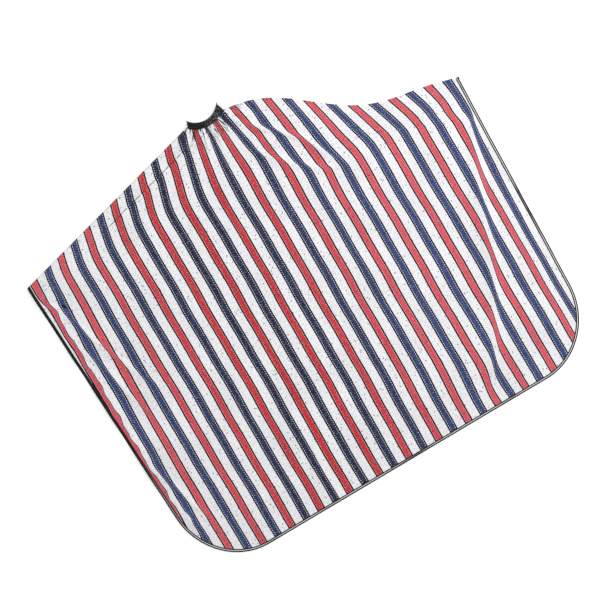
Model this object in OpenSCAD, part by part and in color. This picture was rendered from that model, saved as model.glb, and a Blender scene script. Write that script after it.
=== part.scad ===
// Barber cape, laid flat with its front panel up and both back panels folded under along the shoulders.
// Origin: centre of the outline, on the surface it lies on. +X across the cape, +Y towards the neck, +Z up.

/* [Cape] */
// Width across the shoulders
cape_w = 1400; // [1340:10:1460]
// Neck centre to the bottom hem
front_len = 1170; // [1100:10:1240]
// Neck centre to the back hem
back_len = 430; // [400:10:460]
// Radius of the two bottom corners
corner_r = 200; // [150:10:230]
// Radius of the two back corners
back_corner_r = 120; // [60:10:160]
// Share of its width that the front has lost at the hem
hem_taper = 0.055; // [0.03:0.005:0.07]
// How far the left shoulder corner lies below the neck
left_drop = 168; // [150:2:190]
// How far the right shoulder corner lies below the neck
right_drop = 282; // [260:2:300]

/* [Cloth] */
// Thickness of the cloth
cloth_t = 0.6; // [0.5:0.05:0.7]
// Width of the edge binding
binding_w = 8; // [6:0.5:10]
// Thickness of the folded binding tape
binding_t = 1.6; // [1.4:0.1:1.8]
// Height of the tallest soft fold above the flat cloth
fold_h = 11; // [6:0.5:14]

/* [Neckband] */
// Inner radius of the curved neckband
band_in_r = 62; // [60:0.5:64]
// Outer radius of the curved neckband
band_out_r = 82; // [80:0.5:84]
// Thickness of one band layer
layer_t = 0.6; // [0.5:0.05:0.7]
// Thickness of the elastic between the layers
elastic_t = 0.8; // [0.7:0.05:0.9]

/* [Snap closure] */
// Studs along the left band end
stud_count = 4; // [3:1:4]
// Distance between studs along the band
stud_pitch = 13; // [12:0.5:14]
// Radius of a stud
stud_r = 2; // [1.8:0.1:2.1]
// Radial clearance of a stud in its socket
snap_gap = 0.3; // [0.25:0.05:0.35]

/* [Hidden] */
$fn = 96;
eps = 0.01;

// Heights of the stack, from the floor up
band_t = 2 * layer_t + elastic_t;
tab_t = 0.8;
cap_t = 0.7;
socket_t = 1.2;
cap_lift = 0.2;
stack_gap = 0.8;
stud_h = 0.9;
rivet_head_t = 0.4;
tab_z = cap_t + cap_lift;
right_band_z = 0.5;
left_band_z = tab_z + tab_t + socket_t + snap_gap;
front_band_z = left_band_z + band_t + stack_gap;
cloth_in_band = layer_t + (elastic_t - cloth_t) / 2;
right_cloth_z = right_band_z + cloth_in_band;
left_cloth_z = left_band_z + cloth_in_band;
front_cloth_z = front_band_z + cloth_in_band;
hem_cloth_z = (binding_t - cloth_t) / 2;

// Neckband
band_cy = 52;
tip_a = 52;
root_a = 45;
seam_allowance = 6;
seam_past_root = 2;
elastic_inset = [2, 1];
seam_r = band_out_r - seam_allowance;
elastic_r = [band_in_r + elastic_inset[0], seam_r - elastic_inset[1]];
tip_x = band_in_r * sin(tip_a);
tip_y = band_cy - band_in_r * cos(tip_a);
root_x = band_out_r * sin(root_a);
root_y = band_cy - band_out_r * cos(root_a);
mid_r = (band_in_r + band_out_r) / 2;
neck_y = (front_len - tip_y) / 2;
back_gap = 0.5;
tab_root_x = 0.6;
right_band_end_x = 4;
tab_end_a = 32;
tab_w = 17;
tab_end_step = 0.4;
seam_step = 1;
tab_posts = [1, 2];
stud_a = stud_pitch / mid_r * 180 / PI;
first_stud_a = 7;
post_r = 1;
cap_r = 4.5;
socket_r = 4;

// Shoulders: the fold lines run from the band tips to the two corners
half_w = cape_w / 2;
side_straight_y = -200;
fold_y = tip_y + 1;
back_tuck = 3;
left_start = 1;
right_start = 12;
left_fold_a = atan2(left_drop + fold_y, half_w - tip_x);
right_fold_a = -atan2(right_drop + fold_y, half_w - tip_x);
right_waves = [-26, 20.6, 14.5];

// Grid of the front panel
side_cols = 12;
neck_cols = 8;
rows = 18;
margin_w = 60;
corner_ease = 150;

// Soft folds across the front: start, end, half width, share of fold_h
FOLDS = [
  [[-60, -60], [-330, -150], 34, 0.55],
  [[20, -95], [40, -330], 34, 0.5],
  [[95, -80], [190, -330], 36, 0.75],
  [[190, -110], [330, -330], 38, 0.65],
  [[640, -330], [500, -830], 40, 1],
  [[-655, -330], [-600, -900], 36, 0.6],
  [[-250, -420], [-240, -1040], 60, 0.35],
  [[230, -480], [250, -1060], 60, 0.4],
  [[-20, -520], [-10, -1080], 60, 0.3]
];

function smooth(t) = let (s = max(0, min(1, t))) s * s * (3 - 2 * s);
function side_scale(y) = 1 - hem_taper * max(0, side_straight_y - y) / (front_len + side_straight_y);
function left_shoulder(x) = -left_start - (left_drop - left_start) * (-x - root_x) / (half_w - root_x);
function right_shoulder(x) =
  let (t = (x - root_x) / (half_w - root_x))
  -right_start - (right_drop - right_start) * t
  + right_waves[0] * sin(180 * t) + right_waves[1] * sin(360 * t) + right_waves[2] * sin(540 * t);
function neck_edge(x) = band_cy - sqrt(seam_r * seam_r - x * x);
seam_x = seam_r * sin(root_a + seam_past_root);
function top_edge(x) =
  x < -seam_x ? min(left_shoulder(x), neck_edge(seam_x))
  : x > seam_x ? min(right_shoulder(x), neck_edge(seam_x))
  : neck_edge(x);
function hem_edge(x, inset) =
  let (r = corner_r - inset, over = max(0, abs(x) - (half_w - corner_r)))
  -front_len + inset + r - sqrt(max(0, r * r - over * over));

// Columns run closer together at the rounded corners, and evenly along the band
function column(i, inset) =
  let (w = half_w - inset, n = side_cols, k = i - n - neck_cols)
  i < n ? -seam_x - (w - seam_x) * sin(90 * (n - i) / n)
  : k > 0 ? seam_x + (w - seam_x) * sin(90 * k / n)
  : seam_x * (2 * (i - n) / neck_cols - 1);
cols = 2 * side_cols + neck_cols;

function fold_at(p, f) =
  let (
    d = f[1] - f[0],
    t = max(0, min(1, ((p - f[0]) * d) / (d * d))),
    away = norm(p - f[0] - t * d),
    ends = smooth(4 * t) * smooth(4 * (1 - t))
  )
  f[3] * fold_h * ends * exp(-away * away / (f[2] * f[2]));
function folds_at(p) = max([for (f = FOLDS) fold_at(p, f)]);

// Height of the cloth's underside, low along the hem and level near the shoulders
function front_z(x, y, x0) =
  let (
    corner_y = x < 0 ? -left_drop : -right_drop,
    in_side = smooth((1 - abs(x0) / half_w) * half_w / margin_w),
    in_hem = smooth((y - hem_edge(x0, binding_w)) / margin_w),
    down = smooth((corner_y - y) / corner_ease),
    lift = 1 - (1 - in_side * in_hem) * down
  )
  hem_cloth_z + (front_cloth_z - hem_cloth_z) * lift + folds_at([x, y]) * in_side * in_hem;

function front_point(i, j, inset) =
  let (
    x0 = column(i, inset),
    top = top_edge(x0),
    y = top + (hem_edge(x0, inset) - top) * j / rows,
    x = x0 * side_scale(y)
  )
  [x, y, front_z(x, y, abs(x0) > half_w - inset - eps ? half_w : x0)];

// Closed solid between a grid of points and the same grid raised by t
module thick_grid(points, ni, nj, t) {
  n = ni * nj;
  lower = points;
  upper = [for (p = points) p + [0, 0, t]];
  cells = [
    for (i = [0 : ni - 2], j = [0 : nj - 2])
      let (a = i * nj + j)
      [a, a + nj, a + 1, a + nj + 1]
  ];
  rim = concat(
    [for (i = [0 : ni - 1]) i * nj],
    [for (j = [1 : nj - 1]) (ni - 1) * nj + j],
    [for (i = [ni - 2 : -1 : 0]) i * nj + nj - 1],
    [for (j = [nj - 2 : -1 : 1]) j]
  );
  polyhedron(
    concat(lower, upper),
    concat(
      [for (c = cells) [c[0], c[2], c[1]]],
      [for (c = cells) [c[1], c[2], c[3]]],
      [for (c = cells) [n + c[0], n + c[1], n + c[2]]],
      [for (c = cells) [n + c[1], n + c[3], n + c[2]]],
      [for (k = [0 : len(rim) - 1]) let (a = rim[k], b = rim[(k + 1) % len(rim)]) [a, b, n + b]],
      [for (k = [0 : len(rim) - 1]) let (a = rim[k], b = rim[(k + 1) % len(rim)]) [a, n + b, n + a]]
    )
  );
}

// Edge path of the front: down the left side, round the hem, up the right side
first_row = 1;
edge_path = concat(
  [for (j = [first_row : rows]) [0, j]],
  [for (i = [1 : cols]) [i, rows]],
  [for (j = [rows - 1 : -1 : first_row]) [cols, j]]
);
module edge_bar() {
  inner = [for (e = edge_path) front_point(e[0], e[1], binding_w)];
  outer = [for (e = edge_path) front_point(e[0], e[1], 0)];
  m = len(inner);
  rings = [
    for (k = [0 : m - 1])
      let (z = inner[k][2] - hem_cloth_z, a = inner[k], b = outer[k])
      [[a[0], a[1], z], [b[0], b[1], z], [b[0], b[1], z + binding_t], [a[0], a[1], z + binding_t]]
  ];
  polyhedron(
    [for (r = rings) each r],
    concat(
      [[0, 1, 2], [0, 2, 3]],
      [for (k = [0 : m - 2], s = [0 : 3]) let (a = 4 * k + s, b = 4 * k + (s + 1) % 4) [a, a + 4, b + 4]],
      [for (k = [0 : m - 2], s = [0 : 3]) let (a = 4 * k + s, b = 4 * k + (s + 1) % 4) [a, b + 4, b]],
      [[4 * m - 4, 4 * m - 2, 4 * m - 3], [4 * m - 4, 4 * m - 1, 4 * m - 2]]
    )
  );
}

// One back half, opened out flat: slit edge, back hem, rounded corner, side
function back_outline(inset) =
  let (r = back_corner_r - inset, c = [half_w - back_corner_r, back_len - back_corner_r])
  concat(
    [[back_gap + inset, -half_w], [back_gap + inset, back_len - inset]],
    [for (a = [90 : -10 : 0]) c + r * [cos(a), sin(a)]],
    [[half_w - inset, -half_w]]
  );

// The plan of the front, which the folded back panels stay inside
module front_plan(inset) {
  steps = 40;
  reach = half_w - inset - root_x;
  left = [for (k = [0 : steps]) -root_x - reach * (1 - k / steps)];
  right = [for (k = [0 : steps]) root_x + reach * k / steps];
  polygon(concat(
    [for (x = left) [x, left_shoulder(x) - inset]],
    [[0, -seam_r]],
    [for (x = right) [x, right_shoulder(x) - inset]],
    [[half_w - inset, -front_len], [-half_w + inset, -front_len]]
  ));
}

// side is -1 for the left half and 1 for the right: turned over about its own shoulder line
module folded(side) {
  a = side < 0 ? left_fold_a : right_fold_a;
  translate([side * tip_x, fold_y])
    rotate(a)
      mirror([0, 1])
        rotate(-a)
          translate([-side * tip_x, -fold_y])
            scale([side, 1])
              children();
}

module back_plan(side, inset) {
  difference() {
    intersection() {
      folded(side)
        polygon(back_outline(inset));
      front_plan(back_tuck);
    }
    translate([0, band_cy])
      circle(r = seam_r);
  }
}

module back_panel(side, z) {
  translate([0, neck_y, z])
    linear_extrude(cloth_t)
      back_plan(side, 1);
}

module back_binding(side, z) {
  translate([0, neck_y, z + cloth_t / 2 - binding_t / 2])
    difference() {
      linear_extrude(binding_t)
        difference() {
          back_plan(side, 0);
          folded(side)
            polygon(back_outline(binding_w));
          translate([0, band_cy])
            circle(r = band_out_r + seam_step);
        }
      translate([0, 0, (binding_t - cloth_t) / 2])
        linear_extrude(cloth_t)
          back_plan(side, 1);
    }
}

// Curved strip of the neckband between two radii, with slanted ends at the tips
module band_strip(z, t, radii, from_x, to_x) {
  translate([0, neck_y, z])
    linear_extrude(t)
      intersection() {
        translate([0, band_cy])
          difference() {
            circle(r = radii[1]);
            circle(r = radii[0]);
          }
        polygon([
          [0, band_cy], [-tip_x, tip_y], [-root_x, root_y], [-root_x, -band_out_r],
          [root_x, -band_out_r], [root_x, root_y], [tip_x, tip_y]
        ]);
        translate([from_x, -band_out_r])
          square([to_x - from_x, 2 * band_out_r]);
      }
}

module at_stud(k) {
  a = first_stud_a + k * stud_a;
  translate([-mid_r * sin(a), neck_y + band_cy - mid_r * cos(a), 0])
    children();
}

module post_holes(z, t) {
  for (k = [0 : stud_count - 1])
    at_stud(k)
      translate([0, 0, z - 1])
        cylinder(r = post_r, h = t + 2);
}

module tab_layer(z, t) {
  translate([0, neck_y, z])
    linear_extrude(t)
      difference() {
        union() {
          intersection() {
            translate([0, band_cy])
              difference() {
                circle(r = mid_r + tab_w / 2);
                circle(r = mid_r - tab_w / 2);
              }
            polygon([
              [tab_root_x, band_cy], [tab_root_x, -band_out_r], [-band_out_r, -band_out_r],
              [-band_out_r * sin(tab_end_a), band_cy - band_out_r * cos(tab_end_a)], [0, band_cy]
            ]);
          }
          translate([-mid_r * sin(tab_end_a), band_cy - mid_r * cos(tab_end_a)])
            circle(r = tab_w / 2 - tab_end_step);
        }
        for (k = tab_posts) {
          a = first_stud_a + k * stud_a;
          translate([-mid_r * sin(a), band_cy - mid_r * cos(a)])
            circle(r = post_r);
        }
      }
}

// Layers of the neckband and the tab, outer cloth downwards on the two back halves
band_layers = [0, layer_t, layer_t + elastic_t];
band_r = [band_in_r, band_out_r];

module front_panel() {
  color("whitesmoke")
    translate([0, neck_y, 0])
      thick_grid(
        [for (i = [0 : cols], j = [0 : rows]) front_point(i, j, binding_w)],
        cols + 1, rows + 1, cloth_t
      );
}
module front_hem_binding() {
  color("black")
    translate([0, neck_y, 0])
      edge_bar();
}
module front_band_outer() {
  color([0.13, 0.12, 0.11])
    band_strip(front_band_z + band_layers[2], layer_t, band_r, -band_out_r, band_out_r);
}
module front_band_elastic() {
  color("dimgray")
    band_strip(front_band_z + band_layers[1], elastic_t, elastic_r, -band_out_r, band_out_r);
}
module front_band_lining() {
  color([0.16, 0.15, 0.14])
    band_strip(front_band_z, layer_t, band_r, -band_out_r, band_out_r);
}
module left_back_panel() {
  color("navy")
    back_panel(-1, left_cloth_z);
}
module left_back_binding() {
  color("black")
    back_binding(-1, left_cloth_z);
}
module left_band_outer() {
  color([0.13, 0.12, 0.11])
    difference() {
      band_strip(left_band_z, layer_t, band_r, -band_out_r, -back_gap);
      post_holes(left_band_z, layer_t);
    }
}
module left_band_elastic() {
  color("dimgray")
    difference() {
      band_strip(left_band_z + band_layers[1], elastic_t, elastic_r, -band_out_r, -back_gap);
      post_holes(left_band_z + band_layers[1], elastic_t);
    }
}
module left_band_lining() {
  color([0.16, 0.15, 0.14])
    difference() {
      band_strip(left_band_z + band_layers[2], layer_t, band_r, -band_out_r, -back_gap);
      post_holes(left_band_z + band_layers[2], layer_t);
    }
}
module right_back_panel() {
  color("firebrick")
    back_panel(1, right_cloth_z);
}
module right_back_binding() {
  color("black")
    back_binding(1, right_cloth_z);
}
module right_band_outer() {
  color([0.13, 0.12, 0.11])
    band_strip(right_band_z, layer_t, band_r, right_band_end_x, band_out_r);
}
module right_band_elastic() {
  color("dimgray")
    band_strip(right_band_z + band_layers[1], elastic_t, elastic_r, right_band_end_x, band_out_r);
}
module right_band_lining() {
  color([0.16, 0.15, 0.14])
    band_strip(right_band_z + band_layers[2], layer_t, band_r, right_band_end_x, band_out_r);
}
module tab_outer() {
  color([0.13, 0.12, 0.11])
    tab_layer(tab_z, tab_t / 2);
}
module tab_lining() {
  color([0.16, 0.15, 0.14])
    tab_layer(tab_z + tab_t / 2, tab_t / 2);
}
// Caps on the tab's outside, each with the post that goes through it
module snap_caps() {
  color("silver")
    for (k = tab_posts)
      at_stud(k) {
        translate([0, 0, tab_z - cap_t])
          cylinder(r = cap_r, h = cap_t);
        translate([0, 0, tab_z - eps])
          cylinder(r = post_r, h = tab_t + rivet_head_t + eps);
      }
}
// Sockets on the tab's inside, riveted over the cap posts
module snap_sockets() {
  color("silver")
    for (k = tab_posts)
      at_stud(k)
        translate([0, 0, tab_z + tab_t])
          difference() {
            cylinder(r = socket_r, h = socket_t);
            translate([0, 0, -1])
              cylinder(r = post_r, h = 2);
            translate([0, 0, rivet_head_t])
              cylinder(r = stud_r + snap_gap, h = socket_t);
          }
}
// Studs on the outside of the left band end, each with its post
module snap_studs() {
  color("silver")
    for (k = [0 : stud_count - 1])
      at_stud(k) {
        translate([0, 0, left_band_z - stud_h])
          cylinder(r = stud_r, h = stud_h);
        translate([0, 0, left_band_z - eps])
          cylinder(r = post_r, h = band_t + rivet_head_t + eps);
      }
}
// Rings riveted over the stud posts on the inside
module snap_rings() {
  color("silver")
    for (k = [0 : stud_count - 1])
      at_stud(k)
        translate([0, 0, left_band_z + band_t])
          difference() {
            cylinder(r = socket_r, h = rivet_head_t);
            translate([0, 0, -1])
              cylinder(r = post_r, h = 2);
          }
}

front_panel();
front_hem_binding();
front_band_outer();
front_band_elastic();
front_band_lining();
left_back_panel();
left_back_binding();
left_band_outer();
left_band_elastic();
left_band_lining();
right_back_panel();
right_back_binding();
right_band_outer();
right_band_elastic();
right_band_lining();
tab_outer();
tab_lining();
snap_caps();
snap_sockets();
snap_studs();
snap_rings();
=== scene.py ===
import math

import bpy
import numpy as np
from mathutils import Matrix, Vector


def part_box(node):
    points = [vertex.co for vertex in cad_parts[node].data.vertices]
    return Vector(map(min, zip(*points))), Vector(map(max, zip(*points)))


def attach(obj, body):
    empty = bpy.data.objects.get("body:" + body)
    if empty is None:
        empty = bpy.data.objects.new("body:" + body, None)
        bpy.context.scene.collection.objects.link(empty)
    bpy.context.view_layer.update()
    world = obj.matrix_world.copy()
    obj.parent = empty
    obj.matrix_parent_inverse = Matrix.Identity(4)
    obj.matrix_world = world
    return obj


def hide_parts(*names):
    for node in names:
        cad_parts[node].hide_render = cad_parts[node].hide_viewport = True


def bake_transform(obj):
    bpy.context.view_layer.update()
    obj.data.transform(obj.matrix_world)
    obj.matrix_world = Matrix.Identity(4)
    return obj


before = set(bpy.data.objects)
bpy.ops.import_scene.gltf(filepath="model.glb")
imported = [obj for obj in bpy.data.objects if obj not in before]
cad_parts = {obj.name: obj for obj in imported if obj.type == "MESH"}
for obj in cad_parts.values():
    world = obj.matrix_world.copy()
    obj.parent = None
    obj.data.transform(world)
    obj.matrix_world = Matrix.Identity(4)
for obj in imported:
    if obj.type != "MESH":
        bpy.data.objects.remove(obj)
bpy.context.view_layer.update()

# lengths in millimetres, x and y measured from the middle of the neck seam line
mm = 0.001
neckY = 578.0855

cape = {
    "halfWidth": 700.0,
    "length": 1170.0,
    "hemCorner": 200.0,
    "hemNarrowing": 0.055,
    "narrowsBelow": -200.0,
    "clothThickness": 0.6,
    "neckCentre": 52.0,
    "neckSeamRadius": 76.0,
    "frontLevel": 7.0,
    "hemLevel": 0.9,
    "backLength": 430.0,
    "backCorner": 120.0,
}

# the two shoulder folds, each from the end of the neck seam out to the side
shoulders = {
    "seamEnd": 55.58,
    "foldStart": 57.98,
    "leftHigh": -1.0,
    "leftDrop": 167.0,
    "rightHigh": -12.0,
    "rightDrop": 270.0,
    "rightWaves": (-26.0, 20.6, 14.5),
}
shoulders["run"] = 642.02
shoulders["leftCorner"] = shoulders["leftHigh"] - shoulders["leftDrop"]
shoulders["rightCorner"] = shoulders["rightHigh"] - shoulders["rightDrop"]


def smooth(t):
    t = np.clip(t, 0.0, 1.0)
    return t * t * (3.0 - 2.0 * t)


def softRamp(t, width):
    return width * np.logaddexp(0.0, np.asarray(t, float) / width)


# sum of waves, each with its height, its rates along x and y in radians per millimetre, and its start
def waveSum(x, y, waves):
    return sum(height * np.sin(x * alongX + y * alongY + start) for height, alongX, alongY, start in waves)


def neckEdge(x):
    return cape["neckCentre"] - np.sqrt(np.maximum(cape["neckSeamRadius"] ** 2 - x * x, 0.0))


def leftShoulder(x):
    return shoulders["leftHigh"] - shoulders["leftDrop"] * (-x - shoulders["foldStart"]) / shoulders["run"]


def rightShoulder(x):
    t = (x - shoulders["foldStart"]) / shoulders["run"]
    sag = sum(by * np.sin((n + 1) * math.pi * t) for n, by in enumerate(shoulders["rightWaves"]))
    return shoulders["rightHigh"] - shoulders["rightDrop"] * t + sag


# upper edge of the front: neck seam in the middle, shoulder folds at both sides
def topEdge(x):
    x = np.asarray(x, float)
    seam, root = shoulders["seamEnd"], shoulders["foldStart"]
    shoulder = np.where(x < 0, leftShoulder(x), rightShoulder(x))
    start = np.where(x < 0, shoulders["leftHigh"], shoulders["rightHigh"])
    atSeam = float(neckEdge(np.array(seam)))
    between = atSeam + (start - atSeam) * np.clip((np.abs(x) - seam) / (root - seam), 0, 1)
    return np.where(np.abs(x) <= seam, neckEdge(x), np.where(np.abs(x) < root, between, shoulder))


def hemEdge(x):
    r = cape["hemCorner"]
    over = np.clip(np.abs(x) - (cape["halfWidth"] - r), 0.0, r)
    return -cape["length"] + r - np.sqrt(np.maximum(r * r - over * over, 0.0))


def sideScale(y):
    run = cape["length"] + cape["narrowsBelow"]
    return 1.0 - cape["hemNarrowing"] * np.maximum(0.0, cape["narrowsBelow"] - y) / run


# signed distance to a line, positive on its right when it runs down, and the share of the way along
def lineField(x, y, line):
    best = np.full(x.shape, 1e9)
    signed = np.zeros(x.shape)
    along = np.zeros(x.shape)
    pts = np.array(line, float)
    steps = np.hypot(*(pts[1:] - pts[:-1]).T)
    total = steps.sum()
    gone = 0.0
    for (ax, ay), (bx, by), step in zip(pts[:-1], pts[1:], steps):
        dx, dy = (bx - ax) / step, (by - ay) / step
        t = np.clip((x - ax) * dx + (y - ay) * dy, 0.0, step)
        px, py = x - ax - t * dx, y - ay - t * dy
        d = np.hypot(px, py)
        side = np.where(px * dy - py * dx > 0, -1.0, 1.0)
        near = d < best
        best = np.where(near, d, best)
        signed = np.where(near, side * d, signed)
        along = np.where(near, (gone + t) / total, along)
        gone += step
    return signed, along


def endFade(along, ends):
    return smooth(along / ends[0]) * smooth((1.0 - along) / ends[1])


# how the stripes lean over near the two shoulders
lean = {
    "leftFrom": -186.0,
    "leftSlope": 0.26,
    "leftSoft": 14.0,
    "neckSoft": 70.0,
    "edgeSoft": 60.0,
    "rightFrom": -170.0,
    "rightDrop": 150.0,
    "rightDropAt": (40.0, 170.0),
    "rightSoft": 11.0,
    "leastRise": 40.0,
    "mostRise": 1.15,
    "rightAt": [0, 27, 78, 129, 179, 225, 375, 425, 475, 525, 575, 625, 675, 700],
    "rightBy": [0, 10, 32, 46, 43, 45, 45, 41, 36, 28, 25, 15, 5, 0],
}


# how far the stripe that starts at u on the flat cloth lies from its straight line
def stripeShift(u, y):
    left = lean["leftSlope"] * softRamp(y - lean["leftFrom"], lean["leftSoft"])
    left = left * np.abs(u) / np.sqrt(u * u + lean["neckSoft"] ** 2)
    left *= smooth((cape["halfWidth"] - np.abs(u)) / lean["edgeSoft"])
    dropFrom, dropOver = lean["rightDropAt"]
    bendAt = lean["rightFrom"] - lean["rightDrop"] * smooth((u - dropFrom) / dropOver)
    topBy = np.interp(u, lean["rightAt"], lean["rightBy"])
    rise = softRamp(y - bendAt, lean["rightSoft"])
    rise = rise / np.maximum(topEdge(u - topBy) - bendAt, lean["leastRise"])
    return np.where(u < 0, left, -topBy * np.minimum(rise, lean["mostRise"]))


# ridges pressed into the lying cloth: line, height, half width, and how much cloth each one takes up
creases = [
    {"line": [(683, -372), (672, -402), (617, -532), (578, -622), (565, -660), (517, -777), (462, -888),
              (411, -980), (347, -1071), (307, -1115), (280, -1150)],
     "height": 7.5, "width": 16.0, "before": 9.0, "after": 13.0, "reach": (170.0, 1500.0),
     "ends": (0.05, 0.16)},
    {"line": [(96, -82), (154, -137), (213, -197), (246, -255), (279, -315), (300, -350)],
     "height": 6.5, "width": 8.0, "before": 7.0, "after": 8.0, "reach": (45.0, 55.0), "ends": (0.12, 0.30)},
    {"line": [(60, -135), (100, -190), (139, -232), (177, -270), (230, -309), (310, -335)],
     "height": 4.0, "width": 8.0, "before": 3.5, "after": 3.5, "reach": (40.0, 40.0), "ends": (0.15, 0.25)},
    {"line": [(-70, -52), (-150, -70), (-250, -97), (-350, -122), (-445, -148)],
     "height": 2.6, "width": 9.0, "before": -2.0, "after": -2.0, "reach": (80.0, 80.0), "ends": (0.10, 0.40)},
    {"line": [(-683, -205), (-667, -270), (-666, -383), (-663, -506), (-662, -643), (-662, -772),
              (-650, -915), (-634, -1010), (-600, -1080)],
     "height": 4.5, "width": 10.0, "before": 12.0, "after": 4.0, "reach": (90.0, 45.0), "ends": (0.05, 0.12),
     "wave": (5.0, 19.0)},
    {"line": [(-668, -225), (-629, -340), (-582, -471), (-537, -573), (-480, -640)],
     "height": 4.5, "width": 7.0, "before": 6.5, "after": 6.5, "reach": (30.0, 30.0), "ends": (0.12, 0.35)},
    {"line": [(-676, -345), (-627, -482), (-590, -630), (-560, -760)],
     "height": 4.5, "width": 7.0, "before": 6.0, "after": 6.0, "reach": (28.0, 30.0), "ends": (0.15, 0.45)},
    {"line": [(-668, -770), (-629, -882), (-604, -960), (-570, -1060)],
     "height": 4.5, "width": 7.0, "before": 5.5, "after": 6.0, "reach": (28.0, 30.0), "ends": (0.15, 0.35)},
    {"line": [(150, -250), (180, -400), (168, -560), (196, -700)],
     "height": 2.8, "width": 16.0, "before": 1.5, "after": 1.5, "reach": (60.0, 60.0), "ends": (0.25, 0.35)},
    {"line": [(-232, -900), (-222, -1010), (-238, -1090), (-226, -1168)],
     "height": 3.5, "width": 13.0, "before": 2.0, "after": 2.0, "reach": (60.0, 60.0), "ends": (0.30, 0.02)},
    {"line": [(-40, -120), (-90, -330), (-75, -560), (-110, -800)],
     "height": 2.2, "width": 18.0, "before": 1.0, "after": 1.0, "reach": (70.0, 70.0), "ends": (0.30, 0.40)},
]


def creasePull(x, y):
    total = np.zeros(x.shape)
    for c in creases:
        swing, pitch = c.get("wave", (0.0, 1.0))
        bent = x + swing * np.sin(y / pitch) + 0.6 * swing * np.sin(y / (0.43 * pitch))
        d, along = lineField(bent, y, c["line"])
        share = 0.5 * (1.0 + np.tanh(d / (0.75 * c["width"])))
        before = c["before"] * np.exp(-np.maximum(-d, 0.0) / c["reach"][0])
        after = c["after"] * np.exp(-np.maximum(d, 0.0) / c["reach"][1])
        total += (share * after - (1.0 - share) * before) * endFade(along, c["ends"])
    return total


# broad slow drift of the stripes across the lying cloth, by share of the half width and of the length
drift = {
    "whole": (2.2, -8.2, -10.8),
    "leaning": (18.4, -10.4, 1.1),
    "bowed": (-5.5, 0.7, 14.3),
    "twisted": (-17.2, -1.5, 0.0),
}
smallDrift = [(0.8, 1 / 140.0, 1 / 61.0, 0.0), (0.6, 1 / 55.0, 1 / 27.0, 0.0)]
sideTuck = {"by": 18.0, "below": -430.0, "over": 400.0, "from": 592.0, "width": 70.0}

# fine gathers that run out from the neckband; angles in degrees, the rest in millimetres
gathers = {
    "pull": 3.0,
    "pullTurn": 6.0,
    "pullFrom": 84.0,
    "pullReach": 38.0,
    "pullSpread": 75.0,
    "height": 2.7,
    "lift": 3.0,
    "startAt": 82.5,
    "startSoft": 9.0,
    "fadeFrom": 90.0,
    "fadeReach": 60.0,
    "spread": 66.0,
    "spreadSoft": 22.0,
}


def gatherWave(angle):
    broad = np.sin(np.radians(angle * 13.0) + 0.9 * np.sin(angle / 9.0))
    return broad + 0.6 * np.sin(np.radians(angle * 23.0) + 1.0)


def neckPolar(x, y):
    down = cape["neckCentre"] - y
    return np.hypot(x, down), np.degrees(np.arctan2(x, down))


# place across the flat cloth of the point that lies at x, y
def clothAcross(x, y):
    pulled = x + creasePull(x, y) + waveSum(x, y, smallDrift)
    acrossShare, downShare = np.clip(x / cape["halfWidth"], -1, 1), -y / cape["length"]
    for power, (flat, rising, bending) in enumerate(drift.values()):
        pulled = pulled - (flat + rising * downShare + bending * downShare ** 2) * acrossShare ** power
    tuck = smooth((sideTuck["below"] - y) / sideTuck["over"])
    pulled = pulled + sideTuck["by"] * tuck * smooth((x - sideTuck["from"]) / sideTuck["width"])
    reach, angle = neckPolar(x, y)
    nearBand = np.exp(-np.maximum(reach - gathers["pullFrom"], 0.0) / gathers["pullReach"])
    nearBand = nearBand * (np.abs(angle) < gathers["pullSpread"])
    pulled = pulled + gathers["pull"] * gatherWave(angle + gathers["pullTurn"]) * nearBand
    u = pulled.copy()
    for _ in range(14):  # the shift depends on the answer, so close in on it
        u = 0.5 * u + 0.5 * (pulled - stripeShift(u, y))
    return u


# the lying front: slow waves, slopes down to the floor at its edges, and lifted sides
lying = {
    "waves": [(0.9, 1 / 71.0, 1 / 113.0, 0.0), (0.8, 1 / 39.0, -1 / 83.0, 1.3),
              (0.6, 1 / 23.0, 1 / 47.0, 0.4), (0.7, 1 / 97.0, 1 / 31.0, 2.0)],
    "waveShare": 0.7,
    "rise": 1.3,
    "edgeSlope": 170.0,
    "foldSlope": 150.0,
    "foldFlat": 4.0,
    "foldSoft": 34.0,
    "edgeShare": 0.25,
    "edgeSoft": 45.0,
    "gentleSide": 1.7,
}
sideLift = {
    "waves": [(1.6, 0.0, 1 / 34.0, 0.0), (0.9, 0.0, 1 / 17.0, 1.0)],
    "rise": 2.2,
    "reach": 34.0,
    "below": 90.0,
    "over": 160.0,
    "hemGap": 5.0,
    "hemSoft": 120.0,
}


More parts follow.
